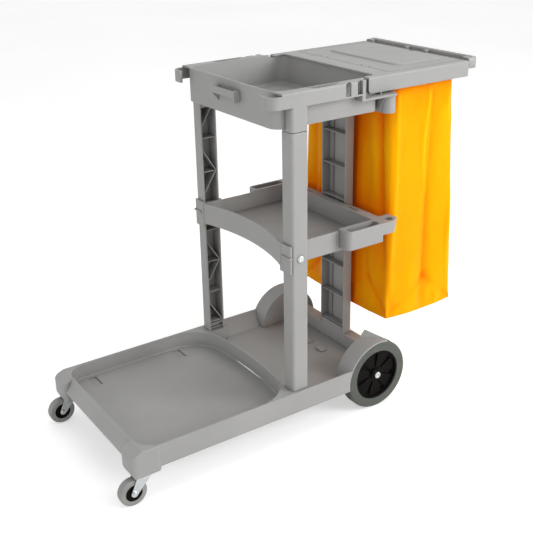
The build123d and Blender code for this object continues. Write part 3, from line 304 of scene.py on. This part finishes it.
def steel():
    """Turned plain steel."""
    g = Graph("steel")
    rounded, edge = g.edges(0.5 * MM)
    cloud = g.noise(90.0, 4.0, 0.6)
    base = g.blend(g.span(cloud, 0.3, 0.7), (0.46, 0.46, 0.47), (0.56, 0.56, 0.57))
    # painted highlight: a paler band along every edge
    base = g.blend(g.times(edge, 0.3), base, (0.75, 0.75, 0.76))
    turned = g.noise(900.0, 2.0, 0.5, g.stretched(0.08, 1.0, 1.0))
    rough = g.span(turned, 0.3, 0.7, 0.28, 0.42)
    normal = g.bump(turned, 0.08, 0.2 * MM, rounded)
    g.shader.inputs["Metallic"].default_value = 1.0
    return g.finish(base, rough, normal)


def dress_cad_nodes(finishes):
    """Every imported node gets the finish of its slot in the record."""
    for part in frame["record"]["subparts"]:
        node = frame["nodes"][part["node"]]
        node.data.materials.clear()
        node.data.materials.append(finishes[part["material_slot"]])


# --- waste bag ---

BAG_TOP = 941 * MM
BAG_LOW = 250 * MM
BAG_SHEET = 1.0 * MM
HEM_LOW = 927 * MM
HEM_EXTRA = 0.4 * MM
# plain outline at the top and at the bottom: front x, rear x, half width, corner radius
MOUTH = (295.2 * MM, 531.8 * MM, 191.8 * MM, 35.6 * MM)
FOOT = (300.0 * MM, 556.0 * MM, 195.0 * MM, 9.0 * MM)
FOOT_TURN = 2.0 * MM
FOOT_DROP = 6.0 * MM
FOOT_RINGS = 18
FOOT_SAG = 6.0 * MM
FOOT_POINT = 3.0 * MM
# sides: gusset and its middle fold, soft ridges beside it and beside the corners
GUSSET_DEPTH = 8.0 * MM
SIDE_FOLD_X = 446 * MM
SIDE_FOLD_LOW = 345 * MM
SIDE_FOLD_HIGH = 900 * MM
SIDE_FOLD_LEAN = 4 * MM
SIDE_RIDGE_AHEAD = 19 * MM
SIDE_RIDGE_HEIGHT = 5.0 * MM
CORNER_RIDGE_IN = 21 * MM
CORNER_RIDGE_HEIGHT = 4.2 * MM
# ends: slack sheet, and upright pleats given as (y in mm, depth in mm, half breadth in mm)
SLACK_DEPTH = 3.0 * MM
PLEATS = ((-160, 8.0, 13), (-112, -1.6, 20), (-30, 2.6, 28), (60, -1.4, 24), (152, 4.6, 13))
PLEAT_SWAY = 14 * MM
END_FOLD_KNEE = (105 * MM, 352 * MM)
END_FOLD_HIGH = (88 * MM, 520 * MM)
CORNER_STEPS = 14
END_STEPS = 84
SIDE_STEPS = 64
HEM_LEVELS = 10
MIDDLE_LEVELS = 118
FOOT_LEVELS = 18


def bag_outline(front, rear, half_width, radius):
    """Plan points and outward normals round the bag, from the near end of its front face."""
    centres = ((front + radius, half_width - radius), (rear - radius, half_width - radius),
               (rear - radius, radius - half_width), (front + radius, radius - half_width))
    points, normals = [], []
    for corner, (x, y) in enumerate(centres):
        start = math.pi - corner * math.pi / 2
        before = centres[corner - 1]
        steps = END_STEPS if corner % 2 == 0 else SIDE_STEPS
        normal = (math.cos(start), math.sin(start))
        for step in range(1, steps):
            along = step / steps
            points.append((before[0] + (x - before[0]) * along + radius * normal[0],
                           before[1] + (y - before[1]) * along + radius * normal[1]))
            normals.append(normal)
        for step in range(CORNER_STEPS + 1):
            angle = start - step / CORNER_STEPS * math.pi / 2
            points.append((x + radius * math.cos(angle), y + radius * math.sin(angle)))
            normals.append((math.cos(angle), math.sin(angle)))
    return np.array(points), np.array(normals)


def bag_levels():
    """Heights from the mouth down, closer together at the hem and at the foot."""
    below_hem = HEM_LOW - 3 * MM
    above_foot = BAG_LOW + 34 * MM
    hem = np.linspace(BAG_TOP, below_hem, HEM_LEVELS)
    middle = np.linspace(below_hem, above_foot, MIDDLE_LEVELS)[1:]
    foot = np.linspace(above_foot, BAG_LOW, FOOT_LEVELS)[1:]
    return np.concatenate([hem, middle, foot])


def crease(across, z, start, end, depth, width):
    """Sharp-bottomed fold along a straight line between two (across, z) points."""
    start, end = np.array(start), np.array(end)
    way = end - start
    length = np.hypot(*way)
    along = ((across - start[0]) * way[0] + (z - start[1]) * way[1]) / length ** 2
    held = np.clip(along, 0, 1)
    away = np.hypot(across - start[0] - held * way[0], z - start[1] - held * way[1])
    return -depth * np.exp(-away / width)


def swell(across, middle, width):
    """Soft upright ridge, 1 at its middle."""
    return np.exp(-((across - middle) / width) ** 2)


def smooth(value, low, high):
    """0 below low, 1 above high, and a soft step between them."""
    t = np.clip((value - low) / (high - low), 0, 1)
    return t * t * (3 - 2 * t)


def side_folds(x, z):
    """Relief of a side: the broad gusset, and the finer folds and ridges."""
    hang = smooth(z, SIDE_FOLD_LOW - 40 * MM, SIDE_FOLD_LOW + 60 * MM) * smooth(-z, -BAG_TOP, -700 * MM)
    reach = np.where(x < SIDE_FOLD_X, SIDE_FOLD_X - FOOT[0], FOOT[1] - SIDE_FOLD_X)
    panel = np.clip(1 - np.abs(x - SIDE_FOLD_X) / reach, 0, 1)
    gusset = -GUSSET_DEPTH * hang * panel ** 1.5
    # the side folds in along one upright line, which splits in two above the foot
    knee = (SIDE_FOLD_X, SIDE_FOLD_LOW)
    fine = crease(x, z, knee, (SIDE_FOLD_X + SIDE_FOLD_LEAN, SIDE_FOLD_HIGH), 4.2 * MM, 9 * MM)
    # a soft ridge ahead of that line in its upper half
    ridge_x = SIDE_FOLD_X - SIDE_RIDGE_AHEAD + 5 * MM * np.sin(23 * z)
    fine += SIDE_RIDGE_HEIGHT * swell(x, ridge_x, 9 * MM) * smooth(z, 540 * MM, 760 * MM)
    for corner_x in FOOT[:2]:
        fine += crease(x, z, knee, (corner_x, BAG_LOW), 3.4 * MM, 11 * MM)
        inward = math.copysign(CORNER_RIDGE_IN, SIDE_FOLD_X - corner_x)
        ridge_x = corner_x + inward + 4 * MM * np.sin(11 * z)
        fine += CORNER_RIDGE_HEIGHT * swell(x, ridge_x, 8 * MM) * smooth(z, 270 * MM, 380 * MM)
    return gusset, fine


def end_folds(y, z):
    """Relief of an end: the broad slack, and the finer pleats and folds."""
    slack = -SLACK_DEPTH * smooth(z, BAG_LOW, 520 * MM) * smooth(-z, -BAG_TOP, -720 * MM)
    fine = 0
    for middle, depth, width in PLEATS:
        drift = middle * MM + PLEAT_SWAY * np.sin(5.0 * z + middle)
        fade = smooth(z, 330 * MM, 560 * MM) * smooth(-z, -925 * MM, -860 * MM)
        fine -= depth * MM * fade * swell(y, drift, width * MM)
    for way in (-1, 1):
        corner = (way * FOOT[2], BAG_LOW)
        knee = (way * END_FOLD_KNEE[0], END_FOLD_KNEE[1])
        high = (way * END_FOLD_HIGH[0], END_FOLD_HIGH[1])
        fine += crease(y, z, corner, knee, 5.0 * MM, 12 * MM)
        fine += crease(y, z, knee, high, 2.4 * MM, 14 * MM)
    return slack, fine


def bag_folds(x, y, z, nx, ny):
    """How far the sheet stands out of its plain shape, split into broad and fine relief."""
    gusset, side = side_folds(x, z)
    slack, end = end_folds(y, z)
    on_side = ny ** 2
    on_end = nx ** 2
    return on_side * gusset + on_end * slack, on_side * side + on_end * end


def bag_crumple(x, y, z):
    """Small dents, long and upright over most of the bag, tighter under the frame."""
    long = noise.noise(Vector((x * 17, y * 17, z * 4.2)))
    short = noise.noise(Vector((x * 44 + 9, y * 44, z * 15)))
    ridge = 1 - abs(2 * noise.noise(Vector((x * 25, y * 25 + 4, z * 12 + 0.6 * long))))
    high = 1 - abs(z - 850 * MM) / (85 * MM)
    rear = 1 - abs(x - 500 * MM) / (52 * MM)
    gathered = max(0.0, min(1.0, high)) * max(0.25, min(1.0, rear))
    low = max(0.0, 1 - (z - BAG_LOW) / (130 * MM))
    return (4.8 * long + 0.8 * short + 5.0 * gathered * ridge + 2.4 * low * short) * MM


def bag_shell():
    """Outer skin of the bag as rows of points, each point's outward way and its fine relief."""
    rows, ways, reliefs = [], [], []
    mouth, foot = np.array(MOUTH), np.array(FOOT)
    for z in bag_levels():
        down = (BAG_TOP - z) / (BAG_TOP - BAG_LOW)
        size = mouth + (foot - mouth) * down
        size[3] = MOUTH[3] + (FOOT[3] - MOUTH[3]) * down ** 0.8
        plan, way = bag_outline(*size)
        x, y = plan.T
        nx, ny = way.T
        loose = smooth(-z, -HEM_LOW, -890 * MM)
        broad, fine = bag_folds(x, y, z, nx, ny)
        fine += np.array([bag_crumple(*spot, z) for spot in plan])
        firm = 1 - 0.75 * smooth(-z, -BAG_LOW - 26 * MM, -BAG_LOW)
        reliefs.append(fine * loose)
        out = (broad + fine) * loose * firm
        out += BAG_SHEET * smooth(z, HEM_LOW - 1 * MM, HEM_LOW)
        # corners of the foot are drawn out to a point
        out += FOOT_POINT * smooth(-z, -BAG_LOW - 40 * MM, -BAG_LOW) * (2 * np.abs(nx * ny)) ** 2
        # the foot sags between its corners
        middle_x = 1 - ((x - (size[0] + size[1]) / 2) / ((size[1] - size[0]) / 2)) ** 2
        middle_y = 1 - (y / size[2]) ** 2
        sag = FOOT_SAG * np.clip(ny ** 2 * middle_x + nx ** 2 * middle_y, 0, 1) * down ** 14
        rows.append(np.stack([x + nx * out, y + ny * out, z - sag], -1))
        ways.append(np.stack([nx, ny, np.zeros_like(nx)], -1))
    return np.array(rows), np.array(ways), reliefs


def bag_foot(edge):
    """Rows that close the foot: a tight turn at its edge, then a floor that sags."""
    centre = np.array([edge[:, 0].mean(), 0.0, 0.0])
    inward = (edge - centre) * [1, 1, 0]
    inward /= np.hypot(inward[:, 0], inward[:, 1])[:, None]
    rows = []
    for step in range(1, 5):
        angle = step / 4 * math.pi / 2
        fall = [0, 0, FOOT_TURN * math.sin(angle)]
        rows.append(edge - inward * FOOT_TURN * (1 - math.cos(angle)) - fall)
    last = rows[-1]
    for ring in range(1, FOOT_RINGS):
        keep = 1 - ring / FOOT_RINGS
        flat = centre + (last - centre) * keep
        level = last[:, 2] * keep + (BAG_LOW - FOOT_TURN - FOOT_DROP) * (1 - keep)
        rows.append(np.stack([flat[:, 0], flat[:, 1], level], -1))
    return rows


def make_bag():
    """Vinyl bag with real sheet thickness: outer skin, inner skin and a doubled hem."""
    outer, way, reliefs = bag_shell()
    inner = outer - way * BAG_SHEET
    hem_rows = bag_levels() > HEM_LOW - 1 * MM
    inner[hem_rows] -= way[hem_rows] * HEM_EXTRA
    outer = list(outer) + bag_foot(outer[-1])
    inner = list(inner) + [row + [0, 0, BAG_SHEET] for row in bag_foot(inner[-1])]
    mesh = bmesh.new()
    relief = mesh.verts.layers.float.new(RELIEF)
    skins = []
    for skin in (outer, inner):
        loops = [[mesh.verts.new(point) for point in row] for row in skin]
        skins.append(loops)
        for loop, heights in zip(loops, reliefs):
            for vertex, height in zip(loop, heights):
                vertex[relief] = height
        flip = skin is inner
        for upper, lower in zip(loops, loops[1:]):
            count = len(upper)
            for index in range(count):
                after = (index + 1) % count
                quad = [upper[index], lower[index], lower[after], upper[after]]
                mesh.faces.new(quad[::-1] if flip else quad)
        mesh.faces.new(loops[-1][::-1] if flip else loops[-1])
    outer_lip, inner_lip = skins[0][0], skins[1][0]
    for index in range(len(outer_lip)):
        after = (index + 1) % len(outer_lip)
        mesh.faces.new([outer_lip[index], outer_lip[after], inner_lip[after], inner_lip[index]])
    bmesh.ops.recalc_face_normals(mesh, faces=mesh.faces)
    for face in mesh.faces:
        face.smooth = True
    data = bpy.data.meshes.new("vinyl_bag")
    mesh.to_mesh(data)
    mesh.free()
    bag = bpy.data.objects.new("vinyl_bag", data)
    bpy.context.scene.collection.objects.link(bag)
    return bag


# --- stage ---

FLOOR_HALF = 40.0
FLOOR_GLOW = 0.50


def make_floor():
    """Wide pale floor under the cart."""
    mesh = bmesh.new()
    bmesh.ops.create_grid(mesh, x_segments=24, y_segments=24, size=FLOOR_HALF)
    data = bpy.data.meshes.new("floor")
    mesh.to_mesh(data)
    mesh.free()
    floor = bpy.data.objects.new("floor", data)
    floor.location.z = CAD_BOX[0].z
    bpy.context.scene.collection.objects.link(floor)
    g = Graph("floor_paint")
    tint = g.noise(0.7, 2.0, 0.5)
    base = g.blend(g.span(tint, 0.3, 0.7), (0.87, 0.87, 0.87), (0.90, 0.90, 0.90))
    # the studio's sweep is lit evenly far behind the cart, where the lamps don't reach
    seen = g.add("ShaderNodeLightPath").outputs["Is Camera Ray"]
    g.feed(g.shader, "Emission Color", base)
    g.feed(g.shader, "Emission Strength", g.times(seen, FLOOR_GLOW))
    rough = g.span(tint, 0.3, 0.7, 0.75, 0.85)
    grain = g.bump(g.noise(300.0), 0.02, 1 * MM)
    data.materials.append(g.finish(base, rough, grain))


WALL_LIGHT = 0.86
CEILING_LIGHT = 0.40
CART_MIDDLE = (0.0, 0.0, 0.5)
# soft boxes: name, place, side length and power in watts
SOFT_BOXES = (
    ("key_light", (2.2, -3.1, 2.2), 2.0, 91),
    ("fill_light", (-3.2, -0.7, 1.0), 1.6, 11),
    ("top_light", (0.3, -0.2, 3.4), 2.6, 25),
)


def soft_box(name, place, size, power):
    """Square area light that faces the middle of the cart."""
    data = bpy.data.lights.new(name, "AREA")
    data.shape = "SQUARE"
    data.size = size
    data.energy = power
    light = bpy.data.objects.new(name, data)
    light.location = place
    light.rotation_mode = "QUATERNION"
    light.rotation_quaternion = (Vector(CART_MIDDLE) - Vector(place)).to_track_quat("-Z", "Y")
    bpy.context.scene.collection.objects.link(light)


def make_light():
    """Studio with bright walls and a darker ceiling, and the soft boxes."""
    world = bpy.data.worlds.new("studio")
    world.use_nodes = True
    nodes, links = world.node_tree.nodes, world.node_tree.links
    sky = nodes["Background"]
    height = nodes.new("ShaderNodeSeparateXYZ")
    ramp = nodes.new("ShaderNodeMapRange")
    links.new(nodes.new("ShaderNodeTexCoord").outputs["Generated"], height.inputs[0])
    links.new(height.outputs["Z"], ramp.inputs["Value"])
    ramp.inputs["To Min"].default_value = WALL_LIGHT
    ramp.inputs["To Max"].default_value = CEILING_LIGHT
    links.new(ramp.outputs["Result"], sky.inputs["Strength"])
    sky.inputs["Color"].default_value = (1, 1, 1, 1)
    bpy.context.scene.world = world
    for name, place, size, power in SOFT_BOXES:
        soft_box(name, place, size, power)
    bpy.context.scene.view_settings.view_transform = "Standard"


# --- scene ---

make_camera()
FINISHES = {
    "grey_plastic": grey_plastic(),
    "yellow_vinyl": yellow_vinyl(),
    "grey_tread": tread("grey_tread", (0.078, 0.088, 0.074), (0.098, 0.108, 0.092)),
    "light_tread": tread("light_tread", (0.27, 0.275, 0.262), (0.32, 0.325, 0.31)),
    "black_plastic": black_plastic(),
    "zinc": zinc(),
    "steel": steel(),
}
dress_cad_nodes(FINISHES)
vinyl_bag = make_bag()
vinyl_bag.data.materials.append(FINISHES["yellow_vinyl"])
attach(vinyl_bag, "cart")
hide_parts("waste_bag")
make_floor()
make_light()
